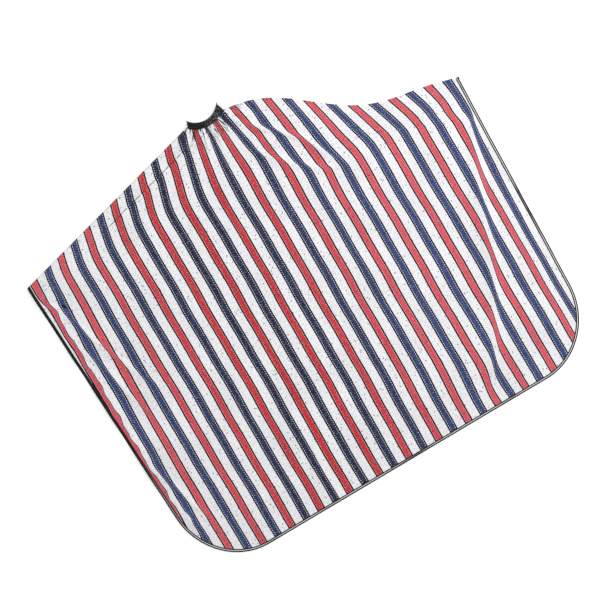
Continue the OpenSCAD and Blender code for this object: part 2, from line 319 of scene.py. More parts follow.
# height of the middle of the front cloth above the floor
def frontHeight(x, y):
    scale = sideScale(y)
    sideGap = cape["halfWidth"] * scale - np.abs(x)
    hemGap = y - hemEdge(np.clip(x / scale, -cape["halfWidth"], cape["halfWidth"]))
    corner = np.where(x < 0, shoulders["leftCorner"], shoulders["rightCorner"])
    edgeGap = np.minimum(sideGap, hemGap)
    byFold = smooth((y - corner + lying["foldSlope"]) / lying["foldSlope"])
    raised = np.maximum(smooth(edgeGap / lying["edgeSlope"]), byFold)
    level = cape["hemLevel"] + (cape["frontLevel"] - cape["hemLevel"]) * raised
    relief = lying["waveShare"] * waveSum(x, y, lying["waves"]) + lying["rise"]
    for c in creases:
        d, along = lineField(x, y, c["line"])
        wide = c["width"] * np.where(d > 0, 1.0, lying["gentleSide"])
        relief = relief + c["height"] * np.exp(-((d / wide) ** 2)) * endFade(along, c["ends"])
    relief = relief * smooth((topEdge(x) - y - lying["foldFlat"]) / lying["foldSoft"])
    relief = relief * (lying["edgeShare"] + (1.0 - lying["edgeShare"]) * smooth(edgeGap / lying["edgeSoft"]))
    # gathers below the neckband
    reach, angle = neckPolar(x, y)
    fade = smooth((reach - gathers["startAt"]) / gathers["startSoft"])
    fade = fade * np.exp(-np.maximum(reach - gathers["fadeFrom"], 0.0) / gathers["fadeReach"])
    fade = fade * smooth((gathers["spread"] - np.abs(angle)) / gathers["spreadSoft"])
    relief = relief + (gathers["height"] * gatherWave(angle) + gathers["lift"]) * fade
    # side edges lift a little in waves
    nearSide = np.exp(-np.maximum(sideGap, 0.0) / sideLift["reach"])
    nearSide = nearSide * smooth((corner - sideLift["below"] - y) / sideLift["over"])
    nearSide = nearSide * smooth((hemGap + sideLift["hemGap"]) / sideLift["hemSoft"])
    relief = relief + nearSide * (sideLift["rise"] + waveSum(x, y, sideLift["waves"]))
    return np.maximum(level + relief, cape["hemLevel"])


def toFrame(x, y, z):
    return np.stack([x * mm, (y + neckY) * mm, z * mm], axis=-1)


def useOnly(obj):
    bpy.ops.object.select_all(action="DESELECT")
    obj.select_set(True)
    bpy.context.view_layer.objects.active = obj


def meshFrom(name, points, faces, across):
    mesh = bpy.data.meshes.new(name)
    mesh.from_pydata([tuple(p) for p in points], [], [tuple(f) for f in faces])
    obj = bpy.data.objects.new(name, mesh)
    bpy.context.scene.collection.objects.link(obj)
    layer = mesh.uv_layers.new(name="flatCloth")
    loops = np.zeros(len(mesh.loops), dtype=np.int32)
    mesh.loops.foreach_get("vertex_index", loops)
    layer.data.foreach_set("uv", across[loops].astype(np.float32).ravel())
    mesh.update()
    useOnly(obj)
    bpy.ops.object.shade_smooth()
    return obj


def gridFaces(rows, cols, flip=False, ring=False):
    faces = []
    for r in range(rows - 1):
        for c in range(cols if ring else cols - 1):
            n = (c + 1) % cols
            quad = (r * cols + c, r * cols + n, (r + 1) * cols + n, (r + 1) * cols + c)
            faces.append(quad[::-1] if flip else quad)
    return faces


def thicken(obj, thickness):
    useOnly(obj)
    mod = obj.modifiers.new("cloth", "SOLIDIFY")
    mod.thickness = thickness * mm
    mod.offset = 0.0
    bpy.ops.object.modifier_apply(modifier=mod.name)
    return obj


def faceOutward(obj):
    useOnly(obj)
    bpy.ops.object.mode_set(mode="EDIT")
    bpy.ops.mesh.select_all(action="SELECT")
    bpy.ops.mesh.normals_make_consistent(inside=False)
    bpy.ops.object.mode_set(mode="OBJECT")
    return obj


# closed body from rings of points, one after another, with flat ends
def sweepRings(name, rings, across):
    count, size = rings.shape[:2]
    faces = gridFaces(count, size, ring=True)
    faces.append(tuple(range(size)))
    faces.append(tuple(range((count - 1) * size, count * size))[::-1])
    obj = meshFrom(name, rings.reshape(-1, 3), faces, across.reshape(-1, 2))
    return faceOutward(obj)


# places from first to last, closer together within fineTo of zero and by both ends
def spaced(first, last, step, fineTo, fineStep):
    out = []
    at = first
    while at < last:
        out.append(at)
        gap = min(at - first, last - at)
        here = fineStep if abs(at) < fineTo else step
        at += min(here, 0.7 + 0.22 * gap)
    out.append(last)
    return np.array(out)


# front cloth
frontGrid = {"rows": 152, "step": 6.6, "fineTo": 135.0, "fineStep": 3.2, "closerAtTop": 0.4}


def buildFront():
    half = cape["halfWidth"]
    x0 = spaced(-half, half, frontGrid["step"], frontGrid["fineTo"], frontGrid["fineStep"])
    q = np.linspace(0.0, 1.0, frontGrid["rows"])
    share = (1.0 - frontGrid["closerAtTop"]) * q + frontGrid["closerAtTop"] * q * q
    top = topEdge(x0)
    hem = hemEdge(x0)
    y = top[None, :] + (hem - top)[None, :] * share[:, None]
    x = x0[None, :] * sideScale(y)
    z = frontHeight(x, y)
    u = clothAcross(x, y)
    points = toFrame(x, y, z).reshape(-1, 3)
    uv = np.stack([u * mm, y * mm], axis=-1).reshape(-1, 2)
    obj = meshFrom("frontCloth", points, gridFaces(len(q), len(x0), flip=True), uv)
    return thicken(obj, cape["clothThickness"])


# back halves, each turned under along its shoulder; level is the height of the cloth that lies under
halves = {
    "left": {"side": -1.0, "angle": 15.684, "level": 4.2, "body": "left_back", "end": 5.3,
             "reliefRoom": 0.35},
    "right": {"side": 1.0, "angle": -24.506, "level": 1.6, "body": "right_back", "end": 3.2,
              "reliefRoom": 0.7},
}
turnUnder = {
    "foldStart": (48.86, 14.83),
    "searchTo": -300.0,
    "searchSteps": 2921,
    "clearTop": 0.8,
    "clearSide": 3.0,
    "columns": 1400,
    "evenOver": 13,
    "rollRows": 25,
    "flatRows": 92,
    "step": 7.0,
    "fineTo": 100.0,
    "fineStep": 4.0,
    "slit": 0.5,
    "rollFrom": 70.0,
    "rollSoft": 8.0,
    "settles": 160.0,
    "waves": [(1.0, 1 / 37.0, 1 / 61.0, 0.0), (0.8, 1 / 19.0, -1 / 43.0, 1.0), (0.5, 0.0, 1 / 23.0, 0.0)],
    "waveShare": 0.6,
    "waveSoft": 60.0,
}


# mirror image of a place on the opened cloth, over the shoulder line
def turnOver(half, x, y):
    a = math.radians(half["angle"])
    ux, uy = math.cos(a), math.sin(a)
    px, py = half["side"] * turnUnder["foldStart"][0], turnUnder["foldStart"][1]
    along = (x - px) * ux + (y - py) * uy
    off = -(x - px) * uy + (y - py) * ux
    return px + along * ux + off * uy, py + along * uy - off * ux


# where each column of the opened half meets the fold
def foldPlaces(half, xOut):
    ys = np.linspace(cape["backLength"], turnUnder["searchTo"], turnUnder["searchSteps"])
    rx, ry = turnOver(half, xOut[:, None] + 0 * ys[None, :], ys[None, :] + 0 * xOut[:, None])
    inside = ry < topEdge(rx) - turnUnder["clearTop"]
    inside &= np.abs(rx) < cape["halfWidth"] + turnUnder["clearSide"]
    first = np.where(inside.all(axis=1), len(ys) - 1, np.argmin(inside, axis=1) - 1)
    return ys[np.maximum(first, 1)]


def prepareHalf(half):
    columns = np.linspace(turnUnder["slit"], cape["halfWidth"], turnUnder["columns"])
    places = foldPlaces(half, half["side"] * columns)
    even = turnUnder["evenOver"]
    places = np.convolve(np.pad(places, even // 2, mode="edge"), np.ones(even) / even, mode="valid")
    half["columns"], half["foldY"] = columns, places
    half["radius"] = 0.5 * (cape["frontLevel"] - half["level"])
    half["roll"] = math.pi * half["radius"]
    fx, fy = turnOver(half, half["side"] * columns, places)
    half["offset"] = clothAcross(fx, fy) - half["side"] * columns


# point of a back half: x across the flat cloth, q along it from the top of the roll, lift on its outer face
def halfPoint(half, x, q, lift):
    a = math.radians(half["angle"])
    foldY = np.interp(np.abs(x), half["columns"], half["foldY"])
    on = smooth((np.abs(x) - turnUnder["rollFrom"]) / turnUnder["rollSoft"])
    r = half["radius"]
    phi = np.clip(q / r, 0.0, math.pi)
    out = (r + lift) * np.sin(phi) * on
    beyond = np.maximum(q - half["roll"], 0.0)
    px, py = turnOver(half, x, foldY + beyond)
    px = px - math.sin(a) * out
    py = py + math.cos(a) * out
    z = half["level"] + on * r * (1.0 + np.cos(phi)) + lift * np.where(on > 0.5, np.cos(phi), -1.0)
    wave = half["reliefRoom"] * turnUnder["waveShare"] * waveSum(x, beyond, turnUnder["waves"])
    return toFrame(px, py, z + wave * smooth(beyond / turnUnder["waveSoft"]))


def backEnd(x):
    r = cape["backCorner"]
    over = np.clip(np.abs(x) - (cape["halfWidth"] - r), 0.0, r)
    return cape["backLength"] - r + np.sqrt(np.maximum(r * r - over * over, 0.0))


def buildHalfCloth(name, half):
    slit = turnUnder["slit"]
    run = spaced(0.0, cape["halfWidth"] - slit, turnUnder["step"], turnUnder["fineTo"], turnUnder["fineStep"])
    columns = slit + run
    x = half["side"] * columns
    foldY = np.interp(columns, half["columns"], half["foldY"])
    length = backEnd(x) - foldY
    rollRows = np.linspace(0.0, half["roll"], turnUnder["rollRows"])
    flatRows = np.linspace(0.0, 1.0, turnUnder["flatRows"])[1:]
    onRoll = rollRows[:, None] + 0 * length[None, :]
    q = np.concatenate([onRoll, half["roll"] + flatRows[:, None] * length[None, :]])
    xx = x[None, :] + 0 * q
    points = halfPoint(half, xx, q, np.zeros(q.shape))
    offset = np.interp(columns, half["columns"], half["offset"])[None, :]
    beyond = np.maximum(q - half["roll"], 0.0)
    u = xx + offset * np.exp(-beyond / turnUnder["settles"])
    v = foldY[None, :] + q
    uv = np.stack([u * mm, v * mm], axis=-1).reshape(-1, 2)
    faces = gridFaces(len(q), len(columns), flip=half["side"] < 0)
    return thicken(meshFrom(name, points.reshape(-1, 3), faces, uv), cape["clothThickness"])


# edge tape, folded over the raw edge
tape = {
    "width": 9.6,
    "outside": 1.6,
    "halfThick": 0.75,
    "sides": 12,
    "leastIn": 0.6,
    "floorGap": 0.05,
    "colour": (0.003, 0.003, 0.0035),
    "fleck": (0.03, 0.03, 0.034),
    "sheen": 0.02,
    "stitch": {"pitch": 3.2, "at": 6.6, "colour": (0.05, 0.05, 0.055)},
    # shine: a painted highlight along the middle of the tape
    "shine": {"at": 3.2, "half": 1.05, "low": 0.02, "share": 0.90, "colour": (0.85, 0.85, 0.87)},
}


# places across the tape and above its middle, round the closed section
def tapeSection():
    t = np.linspace(0.0, 2.0 * math.pi, tape["sides"], endpoint=False)
    across = 0.5 * tape["width"] * (1.0 - np.sign(np.cos(t)) * np.abs(np.cos(t)) ** 0.8) - tape["outside"]
    lift = tape["halfThick"] * np.sign(np.sin(t)) * np.abs(np.sin(t)) ** 0.6
    return across, lift


def tapeUv(path, across):
    gone = np.concatenate([[0.0], np.cumsum(np.hypot(*(path[1:] - path[:-1]).T))])[:, None]
    across = across[None, :]
    return np.stack([gone * mm + 0 * across, across * mm + 0 * gone], axis=-1)


def inwardOf(path):
    step = np.gradient(path, axis=0)
    step /= np.hypot(step[:, 0], step[:, 1])[:, None]
    return np.stack([-step[:, 1], step[:, 0]], axis=-1)


def beside(path, inward, across):
    return [path[:, i][:, None] + inward[:, i][:, None] * across[None, :] for i in (0, 1)]


# down the left side, round the hem and up the right side
def frontEdgePath():
    r, half, low = cape["hemCorner"], cape["halfWidth"], -cape["length"]
    turn = np.linspace(0.0, 0.5 * math.pi, 46)[1:]
    path = [(-half, y) for y in np.linspace(shoulders["leftCorner"], low + r, 150)]
    path += [(-half + r - r * math.cos(t), low + r - r * math.sin(t)) for t in turn]
    path += [(x, low) for x in np.linspace(-half + r, half - r, 190)[1:]]
    path += [(half - r + r * math.sin(t), low + r - r * math.cos(t)) for t in turn]
    path += [(half, y) for y in np.linspace(low + r, shoulders["rightCorner"], 130)[1:]]
    path = np.array(path)
    path[:, 0] *= sideScale(path[:, 1])
    return path


def buildFrontTape():
    path = frontEdgePath()
    inward = inwardOf(path)
    across, lift = tapeSection()
    x, y = beside(path, inward, across)
    edgeX, edgeY = beside(path, inward, np.clip(across, tape["leastIn"], None))
    z = np.maximum(frontHeight(edgeX, edgeY), tape["halfThick"] + tape["floorGap"]) + lift[None, :]
    return sweepRings("frontEdgeTape", toFrame(x, y, z), tapeUv(path, across))


# runs in the flat cloth's own plane: round the roll, up the side, along the back hem and down the open slit
def buildHalfTape(name, half):
    r, width, top, roll = cape["backCorner"], cape["halfWidth"], cape["backLength"], half["roll"]
    slit = turnUnder["slit"]
    sideFold = float(np.interp(width, half["columns"], half["foldY"]))
    slitFold = float(np.interp(slit, half["columns"], half["foldY"]))
    rollSteps, sideSteps, turnSteps, hemSteps, slitSteps = 13, 80, 29, 89, 49
    path = [(width, q) for q in np.linspace(0.0, roll, rollSteps)]
    path += [(width, roll + y - sideFold) for y in np.linspace(sideFold + 3.0, top - r, sideSteps)]
    turnAt = len(path)
    for t in np.linspace(0.0, 0.5 * math.pi, turnSteps + 1)[1:]:
        path.append((width - r + r * math.cos(t), top - r + r * math.sin(t)))
    path += [(x, top) for x in np.linspace(width - r, slit, hemSteps + 1)[1:]]
    path += [(slit, y) for y in np.linspace(top, slitFold + 4.0, slitSteps + 1)[1:]]
    opened = np.array(path)
    opened[:turnAt, 1] = opened[:turnAt, 1] - roll + sideFold
    inward = inwardOf(opened)
    corner = turnAt + turnSteps + hemSteps - 1
    inward[corner] = (math.sqrt(0.5), -math.sqrt(0.5))
    inward[:rollSteps + 1] = (-1.0, 0.0)
    across, lift = tapeSection()
    ox, oy = beside(opened, inward, across)
    fold = np.interp(ox, half["columns"], half["foldY"])
    foldEdge = np.where(np.arange(len(opened))[:, None] < sideSteps, sideFold, fold)
    pts = halfPoint(half, half["side"] * ox, oy - foldEdge + roll, lift[None, :] + 0 * ox)
    return sweepRings(name, pts, tapeUv(opened, across))


# neckband strips: angles in degrees from straight down, lengths in millimetres, ribRate for each radian
band = {
    "inner": 62.0,
    "outer": 82.0,
    "liningInner": 62.2,
    "liningOuter": 81.5,
    "elastic": (64.5, 74.5),
    "middle": 72.0,
    "rootAngle": 45.0,
    "tipAngle": 52.0,
    "spikeAngle": 58.5,
    "tipWide": 3.4,
    "spikeWide": 0.7,
    "spikeIn": 0.5,
    "puff": 3.2,
    "puffRibs": 0.35,
    "webRibs": 0.05,
    "ribRate": 57.3 * 2.6,
    "sides": 14,
    "under": 0.05,
    "over": 0.02,
    "colour": (0.004, 0.004, 0.004),
    "fleck": (0.42, 0.42, 0.43),
    "fleckAmount": (0.08, 0.85),
    "stitch": {"pitch": 3.0, "at": 64.2, "colour": (0.10, 0.10, 0.11)},
    "lining": {"colour": (0.010, 0.010, 0.012), "fleck": (0.06, 0.06, 0.065)},
    "web": {"colour": (0.03, 0.03, 0.032), "fleck": (0.12, 0.12, 0.125)},
}


def bandStrip(name, angles, inner, outer, low, high, puff=0.0, ribs=0.0):
    t = np.linspace(0.0, 2.0 * math.pi, band["sides"], endpoint=False)
    mid, wide = 0.5 * (inner + outer), 0.5 * (outer - inner)
    ca = np.sign(np.cos(t)) * np.abs(np.cos(t)) ** 0.55
    sa = np.sign(np.sin(t)) * np.abs(np.sin(t)) ** 0.7
    radius = mid[:, None] - wide[:, None] * ca[None, :]
    a = np.radians(angles)[:, None]
    upper = np.maximum(sa, 0.0)[None, :] * smooth(wide / 8.0)[:, None]
    ripple = ribs * np.sin(a * band["ribRate"])
    z = 0.5 * (low + high) + 0.5 * (high - low) * sa[None, :] + (puff + ripple) * upper
    x = radius * np.sin(a)
    y = cape["neckCentre"] - radius * np.cos(a)
    across = np.stack([a * band["middle"] * mm + 0 * radius, radius * mm], axis=-1)
    return sweepRings(name, toFrame(x, y, z), across)


# angles and radii, drawn in to a thin point past each root
def bandShape(first, last, inner, outer):
    root, tip, end = band["rootAngle"], band["tipAngle"], band["spikeAngle"]
    angles = np.linspace(first, last, int(abs(last - first) * 2.6) + 8)
    past = np.clip((np.abs(angles) - root) / (tip - root), 0.0, 1.0)
    spike = np.clip((np.abs(angles) - tip) / (end - tip), 0.0, 1.0)
    thin = inner + band["tipWide"]
    out = outer + (thin - outer) * past
    out = out + (inner + band["spikeWide"] - thin) * spike
    return angles, inner + band["spikeIn"] * spike, out


# shared effects
def newGroup(name, inputs, outputs):
    group = bpy.data.node_groups.new(name, "ShaderNodeTree")
    for label, kind, value in inputs:
        socket = group.interface.new_socket(name=label, in_out="INPUT", socket_type=kind)
        if value is not None:
            socket.default_value = value
    for label, kind in outputs:
        group.interface.new_socket(name=label, in_out="OUTPUT", socket_type=kind)
    return group, group.nodes.new("NodeGroupInput"), group.nodes.new("NodeGroupOutput")


# short hand for adding nodes to a tree
class Wires:
    def __init__(self, tree):
        self.tree = tree

    def put(self, socket, value):
        if isinstance(value, (int, float)):
            socket.default_value = value
        elif isinstance(value, tuple):
            short = len(value) == 3 and len(socket.default_value) == 4
            socket.default_value = (*value, 1.0) if short else value
        else:
            self.tree.links.new(value, socket)

    def math(self, operation, a, b=None):
        node = self.tree.nodes.new("ShaderNodeMath")
        node.operation = operation
        self.put(node.inputs[0], a)
        if b is not None:
            self.put(node.inputs[1], b)
        return node.outputs[0]

    def times(self, first, *others):
        for value in others:
            first = self.math("MULTIPLY", first, value)
        return first

    def add(self, a, b):
        return self.math("ADD", a, b)

    def less(self, a, b):
        return self.math("SUBTRACT", a, b)

    def size(self, value):
        return self.math("ABSOLUTE", value)

    def step(self, value, low, high, outLow=0.0, outHigh=1.0):
        node = self.tree.nodes.new("ShaderNodeMapRange")
        node.interpolation_type = "SMOOTHSTEP"
        names = ("Value", "From Min", "From Max", "To Min", "To Max")
        for socket, v in zip(names, (value, low, high, outLow, outHigh)):
            self.put(node.inputs[socket], v)
        return node.outputs["Result"]

    def mix(self, share, a, b, blend="MIX"):
        node = self.tree.nodes.new("ShaderNodeMix")
        node.data_type = "RGBA"
        node.blend_type = blend
        self.put(node.inputs[0], share)
        self.put(node.inputs[6], a)
        self.put(node.inputs[7], b)
        return node.outputs[2]

    def noise(self, vector, scale, detail=2.0, rough=0.5):
        node = self.tree.nodes.new("ShaderNodeTexNoise")
        node.inputs["Scale"].default_value = scale
        node.inputs["Detail"].default_value = detail
        node.inputs["Roughness"].default_value = rough
        self.put(node.inputs["Vector"], vector)
        return node.outputs["Fac"]

    def scaled(self, vector, factors):
        node = self.tree.nodes.new("ShaderNodeVectorMath")
        node.operation = "MULTIPLY"
        self.put(node.inputs[0], vector)
        node.inputs[1].default_value = factors
        return node.outputs[0]

    def split(self, vector):
        node = self.tree.nodes.new("ShaderNodeSeparateXYZ")
        self.tree.links.new(vector, node.inputs[0])
        return node.outputs["X"], node.outputs["Y"]


# widths in millimetres; jitter and the two places of the painted shade's change in metres; rates in radians
# per metre
stripes = {
    "pitch": 50.0,
    "halfColour": 12.7,
    "pinLine": 4.3,
    "hairLine": 1.4,
    "lineSoft": 0.12,
    "jitter": 0.0012,
    "dashRate": 900.0,
    "white": (0.73, 0.735, 0.745),
    # the stripe colours come in painted shaded and painted lit copies
    "red": (0.43, 0.018, 0.024),
    "redPaintedLit": (0.55, 0.070, 0.092),
    "redThread": (0.34, 0.02, 0.035),
    "redHair": (0.85, 0.62, 0.66),
    "navy": (0.007, 0.010, 0.036),
    "navyPaintedLit": (0.028, 0.043, 0.140),
    "navyThread": (0.012, 0.016, 0.05),
    "navyHair": (0.80, 0.86, 1.0),
    # where the painted shade is darkest, left of the middle, and the span over which it is painted lighter
    "paintedShadeLeftBy": 0.10,
    "paintedLightSpan": (0.02, 0.54),
    "pinColour": (0.001, 0.001, 0.002),
    "paleThread": (0.75, 0.72, 0.76),
    "greyThread": (0.34, 0.33, 0.39),
    "speckle": 0.50,
    "blush": (0.62, 0.36, 0.42),
    "bluish": (0.30, 0.36, 0.56),
    "tintShare": 0.38,
    "dotColour": (0.02, 0.02, 0.04),
    "dotShare": 0.80,
    "weaveRate": 5200.0,
}


def makeStripeGroup():
    outputs = [("Colour", "NodeSocketColor"), ("Relief", "NodeSocketFloat"), ("Rough", "NodeSocketFloat")]
    group, gin, gout = newGroup("stripePattern", [("Flat", "NodeSocketVector", None)], outputs)
    w = Wires(group)
    s = stripes
    flat = gin.outputs["Flat"]
    u, v = w.split(flat)
    # which stripe, and how far from its middle
    jitter = w.times(w.less(w.noise(flat, 70.0, 1.0), 0.5), s["jitter"])
    place = w.math("DIVIDE", w.add(w.add(u, jitter), cape["halfWidth"] * mm), s["pitch"] * mm)
    off = w.times(w.size(w.less(w.math("FRACT", place), 0.5)), s["pitch"])
    isNavy = w.times(w.math("FRACT", w.times(w.math("FLOOR", place), 0.5)), 2.0)
    soft, half = s["lineSoft"], s["halfColour"]
    pinIn = half - s["pinLine"]
    hairIn = pinIn - s["hairLine"]
    inColour = w.step(off, half - soft, half + soft, 1.0, 0.0)
    inPin = w.times(w.step(off, pinIn - soft, pinIn + soft), inColour)
    beforePin = w.step(off, pinIn - soft, pinIn + soft, 1.0, 0.0)
    hairBand = w.times(w.step(off, hairIn - soft, hairIn + soft), beforePin)
    dashes = w.step(w.math("SINE", w.times(v, s["dashRate"])), -0.3, 0.2)
    inHair = w.times(hairBand, dashes, w.step(isNavy, 0.2, 0.8, 0.60, 0.80))
    # painted shade: the stripe colours are darkest left of the middle and painted lighter towards both sides
    outOfShade = w.size(w.add(w.add(u, s["paintedShadeLeftBy"]), w.times(w.noise(flat, 6.0, 3.0), 0.14)))
    outOfShade = w.step(outOfShade, *s["paintedLightSpan"])
    deep, pale = w.mix(isNavy, s["red"], s["navy"]), w.mix(isNavy, s["redPaintedLit"], s["navyPaintedLit"])
    colour = w.mix(outOfShade, deep, pale)
    # threads that show through
    threads = w.noise(w.scaled(flat, (250.0, 190.0, 1.0)), 1.0, 2.0, 0.7)
    cross = w.noise(w.scaled(flat, (220.0, 350.0, 1.0)), 1.0, 2.0, 0.7)
    tone = w.noise(flat, 9.0, 3.0)
    colour = w.mix(w.step(cross, 0.56, 0.66, 0.0, 0.30), colour, s["paleThread"])
    darkThread = w.mix(isNavy, s["redThread"], s["navyThread"])
    colour = w.mix(w.step(threads, 0.50, 0.75, 0.0, 0.35), colour, darkThread)
    white = w.mix(w.step(threads, 0.50, 0.64, 0.0, s["speckle"]), s["white"], s["greyThread"])
    for size, tint in (((240.0, 300.0, 1.0), s["blush"]), ((300.0, 230.0, 1.0), s["bluish"])):
        share = w.step(w.noise(w.scaled(flat, size), 1.0, 1.0), 0.58, 0.68, 0.0, s["tintShare"])
        white = w.mix(share, white, tint)
    base = w.mix(inColour, white, colour)
    base = w.mix(inHair, base, w.mix(isNavy, s["redHair"], s["navyHair"]))
    base = w.mix(inPin, base, s["pinColour"])
    # loose dark specks, then a slow change of tone
    dots = group.nodes.new("ShaderNodeTexVoronoi")
    dots.inputs["Scale"].default_value = 1.0
    dots.inputs["Randomness"].default_value = 1.0
    w.put(dots.inputs["Vector"], w.scaled(flat, (88.0, 76.0, 1.0)))
    dotShape = w.step(dots.outputs["Distance"], 0.12, 0.20, 1.0, 0.0)
    dotPick = w.step(w.noise(flat, 45.0, 1.0), 0.30, 0.52)
    base = w.mix(w.times(dotShape, dotPick, s["dotShare"]), base, s["dotColour"])
    base = w.mix(0.14, base, w.mix(w.step(tone, 0.3, 0.7), (0.5, 0.5, 0.5), (1.0, 1.0, 1.0)), "MULTIPLY")
    group.links.new(base, gout.inputs["Colour"])
    weave = w.add(w.math("SINE", w.times(u, s["weaveRate"])), w.math("SINE", w.times(v, s["weaveRate"])))
    relief = w.add(w.times(weave, 0.05), w.times(w.add(threads, cross), 0.22))
    relief = w.add(relief, w.times(w.noise(flat, 60.0, 3.0, 0.6), 0.9))
    group.links.new(relief, gout.inputs["Relief"])
    group.links.new(w.step(tone, 0.2, 0.8, 0.62, 0.80), gout.inputs["Rough"])
    return group


# painted shade of the fine pleats below the neckband, in metres from the neck centre and radians
pleats = {
    "around": 15.0,
    "outward": 22.0,
    "near": (0.090, 0.160),
    "spread": (0.85, 1.15),
    "rim": (0.0815, 0.0855),
    "rimDark": 0.55,
    "dark": 0.95,
    "colour": (0.015, 0.015, 0.022),
}
# painted shade along a line pressed into the cloth from the neck to the left shoulder
pressed = {"slope": 0.256, "rise": -30.5, "half": 2.4, "from": 70.0, "to": 470.0, "wander": 0.006,
           "dark": 0.72}


# painted shade in the creases between the gathers at the neckband, at the band's rim, and along the pressed
# line
def makePleatGroup():
    outputs = [("Shadow", "NodeSocketFloat")]
    group, gin, gout = newGroup("pleatShadow", [("Place", "NodeSocketVector", None)], outputs)
    w = Wires(group)
    at = gin.outputs["Place"]
    x, y = w.split(at)
    down = w.less((cape["neckCentre"] + neckY) * mm, y)
    angle = w.math("ARCTAN2", x, down)
    reach = w.math("SQRT", w.add(w.math("POWER", x, 2.0), w.math("POWER", down, 2.0)))
    polar = group.nodes.new("ShaderNodeCombineXYZ")
    group.links.new(w.times(angle, pleats["around"]), polar.inputs[0])
    group.links.new(w.times(reach, pleats["outward"]), polar.inputs[1])
    lines = w.step(w.noise(polar.outputs[0], 1.0, 2.0, 0.7), 0.50, 0.56)
    near = w.step(reach, *pleats["near"], 1.0, 0.0)
    below = w.step(w.size(angle), *pleats["spread"], 1.0, 0.0)
    rim = w.step(reach, *pleats["rim"], pleats["rimDark"], 0.0)
    shadow = w.times(w.math("MAXIMUM", w.times(lines, near, pleats["dark"]), rim), below)
    # painted shade along the pressed line: distance from the line, which is broken up along its length
    lineY = w.add(w.times(x, pressed["slope"]), (neckY + pressed["rise"]) * mm)
    wander = w.times(w.less(w.noise(at, 14.0, 2.0), 0.5), pressed["wander"])
    miss = w.size(w.add(w.less(y, lineY), wander))
    wide, inner, outer = pressed["half"] * mm, -pressed["from"] * mm, -pressed["to"] * mm
    pressedShade = w.times(w.step(miss, 0.4 * wide, wide, 1.0, 0.0), w.step(w.noise(at, 120.0, 1.0), 0.36, 0.46))
    span = w.times(w.step(x, outer, 0.8 * outer), w.step(x, 1.5 * inner, inner, 1.0, 0.0))
    group.links.new(w.math("MAXIMUM", shadow, w.times(pressedShade, span, pressed["dark"])), gout.inputs["Shadow"])
    return group


# plain woven cloth: threads, faint wear and flecks
def makeWeaveGroup():
    inputs = [("Flat", "NodeSocketVector", None), ("Colour", "NodeSocketColor", (0.01, 0.01, 0.01, 1)),
              ("Fleck", "NodeSocketColor", (0.2, 0.2, 0.2, 1)), ("Amount", "NodeSocketFloat", 0.2)]
    outputs = [("Colour", "NodeSocketColor"), ("Relief", "NodeSocketFloat"), ("Rough", "NodeSocketFloat")]
    group, gin, gout = newGroup("plainWeave", inputs, outputs)
    w = Wires(group)
    flat, fleckColour = gin.outputs["Flat"], gin.outputs["Fleck"]
    threads = w.noise(w.scaled(flat, (700.0, 2400.0, 900.0)), 1.0, 3.0, 0.6)
    fleck = w.noise(w.scaled(flat, (330.0, 420.0, 300.0)), 1.0, 2.0, 0.5)
    share = w.times(w.step(fleck, 0.56, 0.68), gin.outputs["Amount"])
    tinted = w.mix(share, gin.outputs["Colour"], fleckColour)
    tinted = w.mix(w.step(w.noise(flat, 22.0, 3.0), 0.35, 0.75, 0.0, 0.02), tinted, fleckColour)
    group.links.new(tinted, gout.inputs["Colour"])
    weave = w.math("SINE", w.times(w.split(flat)[1], 4200.0))
    group.links.new(w.add(w.times(threads, 0.6), w.times(weave, 0.15)), gout.inputs["Relief"])
    group.links.new(w.step(threads, 0.3, 0.7, 0.42, 0.66), gout.inputs["Rough"])
    return group


def materialBase(name):
    mat = bpy.data.materials.new(name)
    mat.use_nodes = True
    tree = mat.node_tree
    return mat, tree, tree.nodes["Principled BSDF"], Wires(tree)


def groupNode(tree, group):
    node = tree.nodes.new("ShaderNodeGroup")
    node.node_tree = group
    return node


def bumpInto(tree, shader, relief, strength, distance):
    bump = tree.nodes.new("ShaderNodeBump")
    bump.inputs["Strength"].default_value = strength
    bump.inputs["Distance"].default_value = distance
    tree.links.new(relief, bump.inputs["Height"])
    tree.links.new(bump.outputs["Normal"], shader.inputs["Normal"])


def flatPlace(tree):
    node = tree.nodes.new("ShaderNodeUVMap")
    node.uv_map = "flatCloth"
    return node.outputs["UV"]


def setSheen(shader, specular, sheen, spread):
    shader.inputs["Specular IOR Level"].default_value = specular
    shader.inputs["Sheen Weight"].default_value = sheen
    shader.inputs["Sheen Roughness"].default_value = spread


def stripedMaterial(stripeGroup, pleatGroup):
    mat, tree, shader, w = materialBase("stripedCloth")
    pattern = groupNode(tree, stripeGroup)
    tree.links.new(flatPlace(tree), pattern.inputs["Flat"])
    place = tree.nodes.new("ShaderNodeTexCoord")
    shadow = groupNode(tree, pleatGroup)
    tree.links.new(place.outputs["Object"], shadow.inputs["Place"])
    shaded = w.mix(shadow.outputs["Shadow"], pattern.outputs["Colour"], pleats["colour"])
    tree.links.new(shaded, shader.inputs["Base Color"])
    tree.links.new(pattern.outputs["Rough"], shader.inputs["Roughness"])
    setSheen(shader, 0.12, 0.03, 0.45)
    bumpInto(tree, shader, pattern.outputs["Relief"], 0.55, 0.0012)
    return mat


